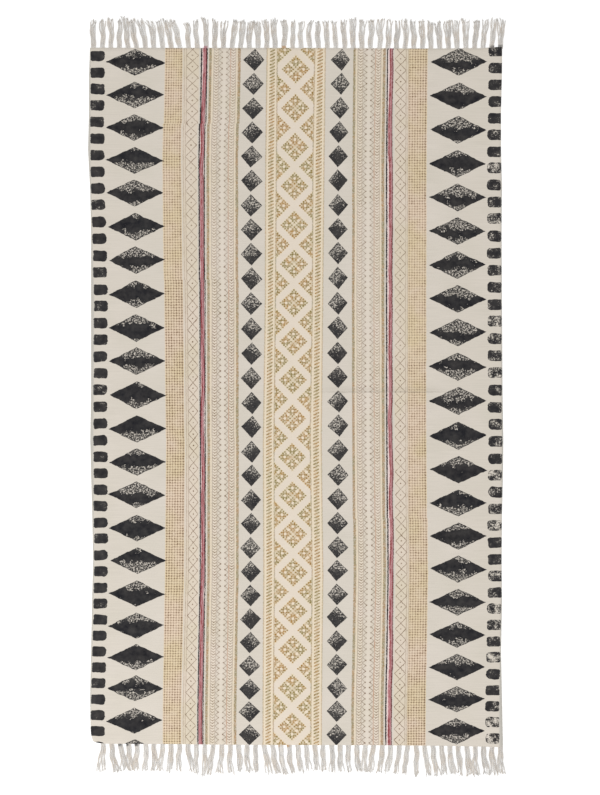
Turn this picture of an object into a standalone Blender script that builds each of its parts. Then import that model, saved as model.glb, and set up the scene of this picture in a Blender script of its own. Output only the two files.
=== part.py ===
"""Hand-printed cotton rug, lying flat: one woven cloth with a fringe of tassels at each end.

Metres, with +Z up. The origin is on the floor under the middle of the cloth, +X runs across
the rug and +Y along it to the head fringe. The cloth is one closed sheet with a flat
underside. Each fringe is one solid: a narrow strip along the cloth's end, parted from it by
a small gap, and the locks of the tassels that grow from the strip and lie on the floor.
"""

import bmesh
import bpy
import numpy as np

MM = 0.001

# Driving dimensions, in millimetres
CLOTH_WIDTH = 900.0
CLOTH_LENGTH = 1523.0
CLOTH_THICKNESS = 2.4
GAP = 0.3

# Finish: linear colours of the unprinted cloth and of the warp ends
CLOTH_COLOUR = (0.66, 0.61, 0.53)
WARP_COLOUR = (0.70, 0.67, 0.61)
ROUGHNESS = 0.95

# Layout of the cloth's mesh
COLUMNS = 15
ROWS = 26
HEM = 14.0                  # width of the selvedge and hem cells along the four edges
CREASE_AT = 9.8             # where the rug was folded in two, above the middle
CREASE_HALF_WIDTH = 14.0
CREASE_HEIGHT = 0.9
CORNER_PULL = 5.0           # how far the worn corner at -X, -Y is rounded off

# How far each long edge stands out of the straight line: along, left edge, right edge
SIDE_EDGES = (
    (-762, -1.0, 1.5),
    (-663, 0.7, -0.6),
    (-554, -1.5, -2.8),
    (-445, -3.7, -0.6),
    (-361, -5.9, -1.5),
    (-252, -3.7, -0.6),
    (-171, -1.5, 1.5),
    (-95, 0.2, 2.2),
    (10, -1.5, 0.6),
    (189, -1.5, -0.6),
    (364, -1.5, -1.5),
    (458, 0.7, -0.6),
    (538, 5.0, -2.8),
    (621, 2.9, -2.8),
    (702, 2.9, -0.6),
    (762, 0.7, -0.2),
)

# How far each short edge stands out of the straight line: across, foot end, head end
END_EDGES = (
    (-450, -3.0, 0.5),
    (-400, -2.5, 0.2),
    (-250, -1.5, 0.0),
    (-100, 0.0, 0.0),
    (0, 0.2, 0.0),
    (150, 0.5, -0.5),
    (300, 1.6, -1.2),
    (400, 3.5, -0.5),
    (450, 5.0, 2.8),
)

# Soft swells where the cloth stands a little off flat: across, along, radius, height
SWELLS = (
    (-380, 540, 150, 0.8),
    (-400, -350, 170, 0.7),
    (390, -95, 140, 0.8),
    (380, 600, 160, 0.6),
    (120, -600, 200, 0.5),
    (-60, 330, 220, 0.4),
)

# The fringes
TASSELS = 48
LOCKS = 3                   # locks in a tassel
LOCK_PITCH = 3.9            # between the locks of a tassel, where they leave the strip
LOCK_ROOM = 3.9             # least distance between neighbouring locks at their tips
STRIP_WIDTH = 3.0
STRIP_END = 1.0             # the strip runs this far past its outermost locks
REACH = 64.0                # the length at which a tassel has its full lean and spread
SWAY_POWER = 1.4            # a lock swings over as its length to this power
BEND = 1.6                  # largest sideways bow of a tassel
TASSEL_SCATTER = 1.5        # chance part of a tassel's length, either way
LOCK_SCATTER = 2.5          # and of each lock's

# A lock's sections: share of its length, width, height, width of its top over its base
LOCK_SECTIONS = (
    (0.00, 3.4, CLOTH_THICKNESS, 1.00),
    (0.35, 3.3, 3.0, 0.70),
    (0.72, 3.1, 2.6, 0.70),
    (1.00, 2.4, 1.3, 0.75),
)

# Head fringe, read straight between the rows: tassel number from -X, lean of its tip, spread
# of its tip, length from the cloth's edge
HEAD_FIRST, HEAD_LAST = -443.3, 446.0
HEAD_CHANCE = 11
HEAD_TASSELS = (
    (0, 1, 14, 64),
    (3, 0, 11, 67),
    (4, -6, 11, 70),
    (5, -16, 12, 63),
    (6, -16, 17, 67),
    (8, -8, 14, 64),
    (10, -20, 17, 65),
    (11, -3, 11, 58),
    (13, -2, 12, 70),
    (15, 4, 17, 61),
    (16, 9, 14, 62),
    (18, 5, 18, 62),
    (19, -1, 13, 60),
    (21, -2, 15, 67),
    (23, 3, 10, 62),
    (25, -1, 11, 61),
    (28, -7, 10, 60),
    (30, -1, 18, 67),
    (33, 3, 15, 65),
    (36, 1, 13, 65),
    (40, -3, 16, 63),
    (43, -3, 22, 67),
    (44, 6, 14, 61),
    (46, 6, 14, 66),
    (47, 0, 22, 65),
)

# Foot fringe, in the same columns
FOOT_FIRST, FOOT_LAST = -422.0, 446.0
FOOT_CHANCE = 12
FOOT_TASSELS = (
    (0, -7, 28, 65),
    (1, 12, 13, 63),
    (3, 8, 15, 63),
    (4, -2, 11, 59),
    (6, -3, 13, 61),
    (7, -7, 17, 62),
    (9, -3, 10, 62),
    (10, 7, 9, 62),
    (12, -2, 10, 71),
    (13, -9, 11, 70),
    (15, 0, 11, 65),
    (16, 5, 9, 60),
    (18, 3, 11, 62),
    (19, 13, 13, 66),
    (21, 10, 14, 67),
    (23, 7, 10, 60),
    (26, 2, 13, 59),
    (30, 5, 12, 62),
    (32, -9, 13, 61),
    (36, -7, 9, 65),
    (38, 9, 10, 68),
    (41, 7, 13, 66),
    (44, 5, 13, 65),
    (47, 4, 22, 61),
)


def remove_everything():
    """Empty the scene of the objects that a new file opens with."""
    for thing in list(bpy.data.objects):
        bpy.data.objects.remove(thing, do_unlink=True)


def matte(name, colour, roughness):
    """A plain Principled material of one colour."""
    material = bpy.data.materials.new(name)
    material.use_nodes = True
    shader = material.node_tree.nodes["Principled BSDF"]
    shader.inputs["Base Color"].default_value = (*colour, 1.0)
    shader.inputs["Roughness"].default_value = roughness
    shader.inputs["Metallic"].default_value = 0.0
    return material


def add_object(name, points, faces, material):
    """One closed object from points in millimetres, with its faces turned outwards."""
    mesh = bpy.data.meshes.new(name)
    mesh.from_pydata((np.array(points) * MM).tolist(), [], faces)
    shape = bmesh.new()
    shape.from_mesh(mesh)
    bmesh.ops.recalc_face_normals(shape, faces=shape.faces)
    shape.to_mesh(mesh)
    shape.free()
    mesh.materials.append(material)
    thing = bpy.data.objects.new(name, mesh)
    bpy.context.scene.collection.objects.link(thing)
    return thing


def table_value(table, column, at):
    """Read a column of a table at the places `at`, straight between its rows."""
    rows = np.array(table)
    return np.interp(at, rows[:, 0], rows[:, column])


def end_edge(across, side):
    """Where the cloth's short edge runs: side is 1 at the head and -1 at the foot."""
    column = 2 if side > 0 else 1
    return side * (CLOTH_LENGTH / 2 + table_value(END_EDGES, column, across))


def grid_lines(length, cells):
    """Grid stations from -length/2 to length/2, the first and last cell as wide as a hem."""
    half = length / 2
    return np.concatenate(([-half], np.linspace(-half + HEM, half - HEM, cells - 1), [half]))


def cloth_lines():
    """The grid's columns, and its rows with three of them moved on to the crease."""
    columns = grid_lines(CLOTH_WIDTH, COLUMNS)
    rows = grid_lines(CLOTH_LENGTH, ROWS)
    middle = np.argsort(np.abs(rows - CREASE_AT))[:3]
    rows[np.sort(middle)] = CREASE_AT + CREASE_HALF_WIDTH * np.array([-1, 0, 1])
    return columns, rows


def cloth_outline(columns, rows):
    """Plan places of all grid points: a straight grid pushed out to the four uneven edges."""
    across, along = np.meshgrid(columns, rows)
    left = -CLOTH_WIDTH / 2 - table_value(SIDE_EDGES, 1, along)
    right = CLOTH_WIDTH / 2 + table_value(SIDE_EDGES, 2, along)
    foot = end_edge(across, -1)
    head = end_edge(across, 1)
    x = left + (right - left) * (across / CLOTH_WIDTH + 0.5)
    y = foot + (head - foot) * (along / CLOTH_LENGTH + 0.5)
    x[0, 0] += CORNER_PULL
    y[0, 0] += CORNER_PULL
    return x, y


def cloth_top(x, y):
    """Height of the upper face: the cloth's thickness, the crease and the soft swells."""
    crease = np.clip(1 - np.abs(y - CREASE_AT) / CREASE_HALF_WIDTH, 0, 1)
    height = CLOTH_THICKNESS + CREASE_HEIGHT * crease
    for across, along, radius, rise in SWELLS:
        height = height + rise * np.exp(-((x - across) ** 2 + (y - along) ** 2) / radius**2)
    return height


def build_cloth():
    """The woven cloth, a sheet with an uneven outline and a flat underside."""
    columns, rows = cloth_lines()
    x, y = cloth_outline(columns, rows)
    inside = np.zeros(x.shape)
    inside[1:-1, 1:-1] = 1
    z = CLOTH_THICKNESS + (cloth_top(x, y) - CLOTH_THICKNESS) * inside
    top = np.stack([x, y, z], axis=-1).reshape(-1, 3)
    under = top * (1, 1, 0)

    count = np.arange(x.size).reshape(x.shape)
    rim = np.concatenate((count[0, :-1], count[:-1, -1], count[-1, :0:-1], count[:0:-1, 0]))
    faces = []
    for layer, turn in ((0, 1), (x.size, -1)):
        cells = np.stack(
            (count[:-1, :-1], count[:-1, 1:], count[1:, 1:], count[1:, :-1]), axis=-1
        ).reshape(-1, 4)
        faces += (cells[:, ::turn] + layer).tolist()
    for here, following in zip(rim, np.roll(rim, -1)):
        faces.append([int(here), int(here + x.size), int(following + x.size), int(following)])
    cotton = matte("undyed cotton cloth", CLOTH_COLOUR, ROUGHNESS)
    return add_object("rug_cloth", np.concatenate((top, under)), faces, cotton)


def spread_apart(places, room):
    """Move sorted places as little as keeps `room` between each two: the mean of a pass that
    pushes them up and a pass that pushes them down."""
    steps = room * np.arange(len(places))
    up = np.maximum.accumulate(places - steps) + steps
    down = np.minimum.accumulate((places - steps)[::-1])[::-1] + steps
    return (up + down) / 2


def lock_plan(table, first, last, seed):
    """Root, tip, bow and length of every lock, tassel by tassel along the strip."""
    tassels = np.arange(TASSELS)
    chance = np.random.default_rng(seed)
    roots = first + (last - first) * tassels / (TASSELS - 1)
    lean = table_value(table, 1, tassels)
    spread = table_value(table, 2, tassels)
    length = table_value(table, 3, tassels) + TASSEL_SCATTER * chance.uniform(-1, 1, TASSELS)
    bow = BEND * chance.uniform(-1, 1, TASSELS)

    place = np.arange(LOCKS) - (LOCKS - 1) / 2
    root = roots[:, None] + place * LOCK_PITCH
    tip = (roots + lean)[:, None] + place * spread[:, None] / LOCKS
    reach = length[:, None] + LOCK_SCATTER * chance.uniform(-1, 1, (TASSELS, LOCKS))
    return root.ravel(), spread_apart(tip.ravel(), LOCK_ROOM), np.repeat(bow, LOCKS), reach.ravel()


def lock_rings(root, tip, bow, length, side):
    """Four corners of each section of a lock. It swings from its root to its tip as a power
    of the distance from the strip, with a sine bow on the way, and its base is on the floor."""
    rings = []
    for share, width, height, taper in LOCK_SECTIONS:
        away = share * (length - GAP - STRIP_WIDTH)
        bent = bow * np.sin(np.pi * min(away / REACH, 1.0))
        middle = root + (tip - root) * (away / REACH) ** SWAY_POWER + bent
        half = width / 2
        out = end_edge(root, side) + side * (GAP + STRIP_WIDTH + away)
        rings.append((
            (middle - half, out, 0.0),
            (middle + half, out, 0.0),
            (middle + half * taper, out, height),
            (middle - half * taper, out, height),
        ))
    return rings


def build_fringe(name, table, first, last, side, seed, yarn):
    """A fringe: a strip with upright walls, and locks that grow out of its outer wall."""
    root, tip, bow, length = lock_plan(table, first, last, seed)
    columns, rows = cloth_lines()
    edge_x, edge_y = cloth_outline(columns, rows)
    edge_row = -1 if side > 0 else 0
    half = LOCK_SECTIONS[0][1] / 2
    start = root[0] - half - STRIP_END
    stop = root[-1] + half + STRIP_END
    inner = [start, *[x for x in edge_x[edge_row] if start < x < stop], stop]
    inner_y = np.interp(inner, edge_x[edge_row], edge_y[edge_row]) + side * GAP

    points = []
    faces = []

    def add(point):
        points.append(point)
        return len(points) - 1

    def wall_point(x, y):
        return add((x, y, 0.0)), add((x, y, CLOTH_THICKNESS))

    inner_wall = [wall_point(x, y) for x, y in zip(inner, inner_y)]
    outer_wall = []
    start_out = end_edge(start, side) + side * (GAP + STRIP_WIDTH)
    outer_wall.append(wall_point(start, start_out))
    for lock in range(len(root)):
        rings = lock_rings(root[lock], tip[lock], bow[lock], length[lock], side)
        numbers = [[add(point) for point in ring] for ring in rings]
        for near, far in zip(numbers, numbers[1:]):
            for corner in range(4):
                after = (corner + 1) % 4
                faces.append((near[corner], near[after], far[after], far[corner]))
        faces.append(tuple(numbers[-1]))
        low_left, low_right, high_right, high_left = numbers[0]
        faces.append((outer_wall[-1][0], low_left, high_left, outer_wall[-1][1]))
        outer_wall += [(low_left, high_left), (low_right, high_right)]
    stop_out = end_edge(stop, side) + side * (GAP + STRIP_WIDTH)
    outer_wall.append(wall_point(stop, stop_out))
    faces.append((outer_wall[-2][0], outer_wall[-1][0], outer_wall[-1][1], outer_wall[-2][1]))

    for here, following in zip(inner_wall, inner_wall[1:]):
        faces.append((here[0], here[1], following[1], following[0]))
    for inside, outside in ((inner_wall[0], outer_wall[0]), (inner_wall[-1], outer_wall[-1])):
        faces.append((inside[0], outside[0], outside[1], inside[1]))
    for level in (0, 1):
        ring = [wall[level] for wall in inner_wall] + [wall[level] for wall in outer_wall[::-1]]
        faces.append(tuple(ring))
    return add_object(name, points, faces, yarn)


remove_everything()
build_cloth()
warp = matte("soft cotton warp ends", WARP_COLOUR, ROUGHNESS)
build_fringe("fringe_head", HEAD_TASSELS, HEAD_FIRST, HEAD_LAST, 1, HEAD_CHANCE, warp)
build_fringe("fringe_foot", FOOT_TASSELS, FOOT_FIRST, FOOT_LAST, -1, FOOT_CHANCE, warp)
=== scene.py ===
"""A cotton rug printed by hand with wooden blocks, laid flat: the woven cloth and two fringes."""

import bpy
import numpy as np
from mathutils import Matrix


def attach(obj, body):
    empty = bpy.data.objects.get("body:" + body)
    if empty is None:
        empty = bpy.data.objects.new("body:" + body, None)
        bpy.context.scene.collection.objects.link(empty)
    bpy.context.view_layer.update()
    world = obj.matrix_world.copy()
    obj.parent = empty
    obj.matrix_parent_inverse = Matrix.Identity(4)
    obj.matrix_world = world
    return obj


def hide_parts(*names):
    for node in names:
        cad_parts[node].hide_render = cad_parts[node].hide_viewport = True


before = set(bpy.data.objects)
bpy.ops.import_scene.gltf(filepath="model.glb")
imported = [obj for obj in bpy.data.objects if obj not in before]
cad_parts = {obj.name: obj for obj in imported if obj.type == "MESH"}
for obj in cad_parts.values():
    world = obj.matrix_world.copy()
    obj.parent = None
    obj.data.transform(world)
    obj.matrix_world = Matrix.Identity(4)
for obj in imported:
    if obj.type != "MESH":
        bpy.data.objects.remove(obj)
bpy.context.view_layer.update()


# The camera, the studio light and the floor.
# The rug is photographed from straight above on a white floor, in even light that is a little
# stronger at its foot.
VIEW_CENTRE = (0.0081, -0.0022)
VIEW_HEIGHT = 1.7367          # what the picture takes in from its top to its bottom, metres
LENS = 85.0
SENSOR = 36.0
CLOTH_FACE = 0.0025


def linear(code):
    """An sRGB hex colour as linear light: the low values are divided by 12.92, the others are
    raised to the power 2.4 after an offset."""
    parts = np.array([int(code[place:place + 2], 16) for place in (0, 2, 4)]) / 255
    light = np.where(parts <= 0.04045, parts / 12.92, ((parts + 0.055) / 1.055) ** 2.4)
    return (*light.tolist(), 1.0)


def node(kind, *inputs, **settings):
    """Adds one node to the tree in hand. The kind may hold the node's operation after a space.
    The settings are its own properties, and the inputs fill its sockets in order: a number or a
    colour, a node (its first output), an output, or None to leave the socket as it is."""
    kind, _, operation = kind.partition(" ")
    made = tree.nodes.new("ShaderNode" + kind)
    if operation:
        made.operation = operation
    for name, value in settings.items():
        setattr(made, name, value)
    for socket, value in zip(made.inputs, inputs):
        if isinstance(value, bpy.types.Node):
            value = value.outputs[0]
        if isinstance(value, bpy.types.NodeSocket):
            tree.links.new(value, socket)
        elif value is not None:
            socket.default_value = value
    return made


def empty_material(name):
    """A new material with an empty node tree."""
    material = bpy.data.materials.new(name)
    material.use_nodes = True
    material.node_tree.nodes.clear()
    return material, material.node_tree


def add_mesh(name, points, faces, material):
    """An object at the origin from points in metres and lists of corners, with one material."""
    mesh = bpy.data.meshes.new(name)
    mesh.from_pydata(points.tolist(), [], faces)
    mesh.materials.append(material)
    thing = bpy.data.objects.new(name, mesh)
    bpy.context.scene.collection.objects.link(thing)
    return thing


camera = bpy.data.objects.new("camera", bpy.data.cameras.new("camera"))
camera.data.lens = LENS
camera.data.sensor_width = SENSOR
camera.location = (*VIEW_CENTRE, VIEW_HEIGHT * LENS / SENSOR + CLOTH_FACE)
bpy.context.scene.collection.objects.link(camera)
bpy.context.scene.camera = camera
bpy.context.scene.view_settings.view_transform = "Standard"

world = bpy.data.worlds.new("studio")
world.use_nodes = True
world.node_tree.nodes["Background"].inputs["Color"].default_value = linear("FFFFFF")
world.node_tree.nodes["Background"].inputs["Strength"].default_value = 0.72
bpy.context.scene.world = world

for name, place, aim, size, power in (
    ("soft key at the foot", (-1.6, -2.6, 2.6), (0.0, -0.2, 0.0), 1.8, 62.0),
    ("soft fill at the head", (0.6, 2.4, 2.8), (0.0, 0.2, 0.0), 2.2, 12.0),
):
    lamp = bpy.data.objects.new(name, bpy.data.lights.new(name, "AREA"))
    lamp.data.shape = "DISK"
    lamp.data.size = size
    lamp.data.energy = power
    lamp.location = place
    away = np.array(place) - np.array(aim)
    lamp.rotation_euler = (
        np.arctan2(np.hypot(away[0], away[1]), away[2]),
        0.0,
        np.arctan2(away[0], -away[1]),
    )
    bpy.context.scene.collection.objects.link(lamp)

# Matt white studio board, which the light burns out to plain white
board, tree = empty_material("Matt white studio board")
shader = node("BsdfPrincipled", linear("F8F8F8"), 0.0, 0.9)
shader.inputs["Emission Color"].default_value = linear("FFFFFF")
shader.inputs["Emission Strength"].default_value = 0.25
node("OutputMaterial", shader)
FLOOR = 30.0
floor_corners = np.array([(-1, -1, 0), (1, -1, 0), (1, 1, 0), (-1, 1, 0)]) * FLOOR
floor = add_mesh("floor", floor_corners - (0, 0, 0.0003), [(0, 1, 2, 3)], board)


# The cloth.
# One length of undyed cotton, flat-woven on a hand loom with a warp that runs the long way. It
# lies on the floor by its own weight, so its edges wander and it shows a faint cross fold.
CLOTH_WIDTH = 900.0           # millimetres, as are all sizes of the cloth
CLOTH_LENGTH = 1523.0
CLOTH_THICKNESS = 2.4
COLUMNS = 166
ROWS = 278
RIM_INSET = 0.9
SELVEDGE_WIDTH = 11.0         # within which the upper face sinks to the selvedge's height
SELVEDGE_HEIGHT = CLOTH_THICKNESS - 0.25
CREASE_AT = 9.8
CREASE_HALF_WIDTH = 13.0
CREASE_HEIGHT = 0.85
CORNER_PULL = 5.0             # the corner at the left of the foot is worn round
CORNER_ROUND = 34.0
MM = 0.001

# How far each long edge stands out from straight: place along the cloth, left, right
SIDE_EDGES = np.array((
    (-762, -1.0, 1.5), (-663, 0.7, -0.6), (-554, -1.5, -2.8), (-445, -3.7, -0.6),
    (-361, -5.9, -1.5), (-252, -3.7, -0.6), (-171, -1.5, 1.5), (-95, 0.2, 2.2),
    (10, -1.5, 0.6), (189, -1.5, -0.6), (364, -1.5, -1.5), (458, 0.7, -0.6),
    (538, 5.0, -2.8), (621, 2.9, -2.8), (702, 2.9, -0.6), (762, 0.7, -0.2),
))
# How far each short edge stands out from straight: place across the cloth, foot, head
END_EDGES = np.array((
    (-450, -3.0, 0.5), (-400, -2.5, 0.2), (-250, -1.5, 0.0), (-100, 0.0, 0.0), (0, 0.2, 0.0),
    (150, 0.5, -0.5), (300, 1.6, -1.2), (400, 3.5, -0.5), (450, 5.0, 2.8),
))
# Soft swells of the upper face: place across, place along, radius, height
SWELLS = (
    (-380, 540, 150, 0.8), (-400, -350, 170, 0.7), (390, -95, 140, 0.8),
    (380, 600, 160, 0.6), (120, -600, 200, 0.5), (-60, 330, 220, 0.4),
)


def end_edge(across, side):
    """Where the cloth's short edge runs: side is 1 at the head and -1 at the foot."""
    column = 2 if side > 0 else 1
    return side * (CLOTH_LENGTH / 2 + np.interp(across, END_EDGES[:, 0], END_EDGES[:, column]))


def cloth_plan(across, along):
    """Place on the floor of the cloth's own coordinates: a straight grid is pushed out to the
    four uneven edges, each between its two opposite edges in proportion, and the worn corner is
    drawn in as the square of the nearness to it."""
    left = -CLOTH_WIDTH / 2 - np.interp(along, SIDE_EDGES[:, 0], SIDE_EDGES[:, 1])
    right = CLOTH_WIDTH / 2 + np.interp(along, SIDE_EDGES[:, 0], SIDE_EDGES[:, 2])
    foot = end_edge(across, -1)
    head = end_edge(across, 1)
    x = left + (right - left) * (across / CLOTH_WIDTH + 0.5)
    y = foot + (head - foot) * (along / CLOTH_LENGTH + 0.5)
    nearness = np.clip(1 - np.hypot(across + CLOTH_WIDTH / 2, along + CLOTH_LENGTH / 2)
                       / CORNER_ROUND, 0, 1)
    return x + CORNER_PULL * nearness**2, y + CORNER_PULL * nearness**2


def cloth_height(x, y):
    """Height of the upper face: the thickness, a smooth ridge at the fold, bell-shaped swells,
    and a cockle of a tenth of a millimetre from three crossing sine waves."""
    fold = np.clip(1 - np.abs(y - CREASE_AT - 1.5 * np.sin(x / 140)) / CREASE_HALF_WIDTH, 0, 1)
    ridge = CREASE_HEIGHT * fold**2 * (3 - 2 * fold)
    height = CLOTH_THICKNESS + ridge * (0.7 + 0.3 * np.sin(x / 97))
    for across, along, radius, rise in SWELLS:
        height = height + rise * np.exp(-((x - across) ** 2 + (y - along) ** 2) / radius**2)
    cockle = np.sin(x / 31 + y / 47) + np.sin(x / 53 - y / 29 + 1.3) + np.sin(y / 19 + x / 160)
    return height + 0.05 * cockle


columns = np.linspace(-CLOTH_WIDTH / 2, CLOTH_WIDTH / 2, COLUMNS)
rows = np.linspace(-CLOTH_LENGTH / 2, CLOTH_LENGTH / 2, ROWS)
across, along = np.meshgrid(columns, rows)
plan_x, plan_y = cloth_plan(across, along)
# The upper face is drawn in a little from the rim, so the edge is rounded
inset = 1 - RIM_INSET / np.array([CLOTH_WIDTH / 2, CLOTH_LENGTH / 2])
from_rim = np.minimum(CLOTH_WIDTH / 2 - np.abs(across), CLOTH_LENGTH / 2 - np.abs(along))
rim_share = np.clip(1 - from_rim / SELVEDGE_WIDTH, 0, 1) ** 2
top = np.stack((
    plan_x * inset[0], plan_y * inset[1],
    cloth_height(plan_x, plan_y) * (1 - rim_share) + SELVEDGE_HEIGHT * rim_share,
), axis=-1)
under = np.stack((plan_x * inset[0], plan_y * inset[1], np.zeros(plan_x.shape)), axis=-1)
rim = np.concatenate((
    np.arange(COLUMNS - 1),
    np.arange(ROWS - 1) * COLUMNS + COLUMNS - 1,
    ROWS * COLUMNS - 1 - np.arange(COLUMNS - 1),
    (ROWS - 1 - np.arange(ROWS - 1)) * COLUMNS,
))
edge = np.stack((
    plan_x.ravel()[rim], plan_y.ravel()[rim], np.full(rim.size, CLOTH_THICKNESS * 0.45)
), axis=-1)
points = np.concatenate((top.reshape(-1, 3), under.reshape(-1, 3), edge)) * MM

count = np.arange(ROWS * COLUMNS).reshape(ROWS, COLUMNS)
cells = np.stack(
    (count[:-1, :-1], count[:-1, 1:], count[1:, 1:], count[1:, :-1]), axis=-1
).reshape(-1, 4)
middle_rim = 2 * ROWS * COLUMNS + np.arange(rim.size)
upper_band = np.stack((middle_rim, np.roll(middle_rim, -1), np.roll(rim, -1), rim), axis=-1)
lower_band = np.stack(
    (rim + ROWS * COLUMNS, np.roll(rim, -1) + ROWS * COLUMNS, np.roll(middle_rim, -1), middle_rim),
    axis=-1,
)
faces = np.concatenate((cells, cells[:, ::-1] + ROWS * COLUMNS, upper_band, lower_band))

# The print's lanes.
# The blocks are set down by eye, so each lane wanders a few millimetres across the cloth. Each
# row is a lane: its mean place across the cloth, its place in the pattern, and how far it strays
# at LANE_STATIONS.
LANE_STATIONS = (748, 517, 211, -95, -390, -685)
LANES = (
    (-431.5, -431.6, -4.0, -4.0, 4.0, 2.5, 4.5, -3.0),
    (-351.5, -350.6, -2.0, -3.5, 1.5, 2.0, 3.5, -2.0),
    (-281.5, -281.8, 2.0, -2.5, 0.5, 4.0, 1.0, -3.5),
    (-240.0, -241.5, -2.0, -2.5, 1.0, 3.5, 2.5, -4.0),
    (-206.0, -206.3, 5.0, 0.5, 1.0, 1.0, 0.5, -4.0),
    (-130.0, -130.0, 4.0, 0.5, 0.5, 0.0, 0.0, -5.0),
    (-98.5, -98.5, 8.5, -0.5, -0.5, 1.5, -2.0, -4.5),
    (-70.5, -70.0, 5.5, 3.0, 2.0, -2.5, -1.5, -3.0),
    (-58.5, -58.4, 7.0, 2.0, 1.5, -2.0, -1.0, -4.0),
    (-47.0, -46.2, 5.0, 3.5, 1.0, -2.0, -1.0, -3.5),
    (34.5, 33.8, 6.0, 2.0, 1.0, -4.0, 0.5, -2.5),
    (47.5, 46.0, 6.5, 3.0, 0.0, -3.0, -0.5, -2.0),
    (58.5, 57.6, 5.5, 3.0, 0.0, -3.5, 0.5, -3.0),
    (91.0, 91.0, 9.5, 1.0, -0.5, 2.5, -3.0, -3.0),
    (124.5, 126.0, 2.0, 0.5, -1.0, 0.0, 2.5, -2.5),
    (189.5, 190.0, 3.5, -0.5, -1.0, 0.5, 2.5, -3.0),
    (206.0, 205.6, 1.0, 1.0, 0.0, 1.0, 2.0, -2.0),
    (287.0, 284.8, 3.0, 0.5, -0.5, 0.0, 2.5, -2.0),
    (353.0, 350.6, 2.5, 0.0, -0.5, 2.0, 2.0, -3.0),
    (433.0, 431.6, 4.5, 0.0, 0.5, 2.5, 1.5, -3.5),
)
# Where the printer set down each lane's motifs: motif number, place along the left lane, right
BAR_PLACES = (
    (-2, 817, 828), (0, 744.9, 755.0), (8, 455.7, 462.9), (16, 160.3, 164.1),
    (24, -132.2, -135.9), (32, -418.3, -429.0), (41, -731.6, -748.4), (43, -801, -823),
)
DIAMOND_PLACES = (
    (-1, 802, 804), (0, 730.5, 731.4), (4, 445.4, 435.0), (8, 150.5, 139.6),
    (12, -143.7, -160.1), (16, -430.8, -450.2), (20, -708.7, -732.7), (21, -778, -803),
)
SQUARE_PLACES = (
    (-1, 788.9, 788.7), (0, 736.2, 736.0), (4, 525.2, 525.2), (8, 311.7, 313.5),
    (12, 93.5, 95.7), (16, -120.8, -117.5), (20, -331.4, -330.1), (24, -538.9, -534.3),
    (28, -740.3, -740.1), (29, -790.7, -791.5),
)
CLUSTER_PLACES = ((-2, 885, 885), (0, 715.7, 715.7), (6, 204.5, 204.5), (17, -722.0, -722.0),
                  (18, -806.0, -806.0))
# How far the banded blocks fall behind an even repeat: place along, left, right
BAND_DRIFT = (
    (762, 5.0, 5.5), (691, 3.5, 4.5), (560, -0.5, 2.0), (429, -1.0, 2.5), (298, -1.0, 0.0),
    (167, 0.5, 0.5), (36, 2.5, 3.5), (-95, 1.5, 1.0), (-226, 0.0, 1.5), (-357, -1.0, 0.5),
    (-488, -5.0, -7.5), (-619, -12.0, -12.0), (-762, -17.5, -17.5),
)


def pattern_place(x, y):
    """Place across in the printed pattern: between two neighbouring lanes, the share of the way
    from one to the other on the cloth is the share of the way in the pattern."""
    stations = np.array(LANE_STATIONS[::-1])
    lanes = [(mean, ideal, np.interp(y, stations, np.array(stray[::-1])))
             for mean, ideal, *stray in LANES]
    lanes = [(-500.0, -500.0, lanes[0][2]), *lanes, (500.0, 500.0, lanes[-1][2])]
    place = x.copy()
    for (mean_a, ideal_a, stray_a), (mean_b, ideal_b, stray_b) in zip(lanes, lanes[1:]):
        start = mean_a + stray_a
        share = (x - start) / (mean_b + stray_b - start)
        here = (share >= 0) & (share < 1)
        place = np.where(here, ideal_a + share * (ideal_b - ideal_a), place)
    return place


def motif_number(places, x, y):
    """Running number of a lane's motifs, whole at the middle of each motif."""
    table = np.array(places)[::-1]
    left = np.interp(y, table[:, 1], table[:, 0])
    right = np.interp(y, table[:, 2], table[:, 0])
    return np.where(x < 0, left, right)


def band_place(x, y):
    """Place along the printed bands: the drift is added to the place on the cloth, and the left
    side's drift turns into the right's across the middle 120 mm."""
    table = np.array(BAND_DRIFT)[::-1]
    left, right = (np.interp(y, table[:, 0], table[:, column]) for column in (1, 2))
    return y + left + (right - left) * np.clip(x / 120 + 0.5, 0, 1)


def face_values(values, underside):
    """One value a vertex: the upper face's own, a constant below, and the rim's from above."""
    return np.concatenate((
        values.ravel(), np.full(values.size, underside), values.ravel()[rim]
    )).astype(np.float32)


# Undyed hand-loomed cotton, printed with pigment from carved wooden blocks: matt, with a fine
# rib, ink that is thin and speckled where the block ran dry, and colours laid down unevenly
printed, tree = empty_material("Hand-printed flat-woven cotton")
cloth = add_mesh("printed_cloth", points, faces.tolist(), printed)
for name, values, underside in (
    ("pattern_across", pattern_place(plan_x, plan_y), 0.0),
    ("pattern_along", band_place(plan_x, plan_y), 0.0),
    ("bar_number", motif_number(BAR_PLACES, plan_x, plan_y), 0.5),
    ("diamond_number", motif_number(DIAMOND_PLACES, plan_x, plan_y), 0.5),
    ("square_number", motif_number(SQUARE_PLACES, plan_x, plan_y), 0.5),
    ("cluster_number", motif_number(CLUSTER_PLACES, plan_x, plan_y), 0.5),
    ("printed_side", np.ones(plan_x.shape), 0.0),
):
    layer = cloth.data.attributes.new(name, "FLOAT", "POINT")
    layer.data.foreach_set("value", face_values(values, underside))

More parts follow.
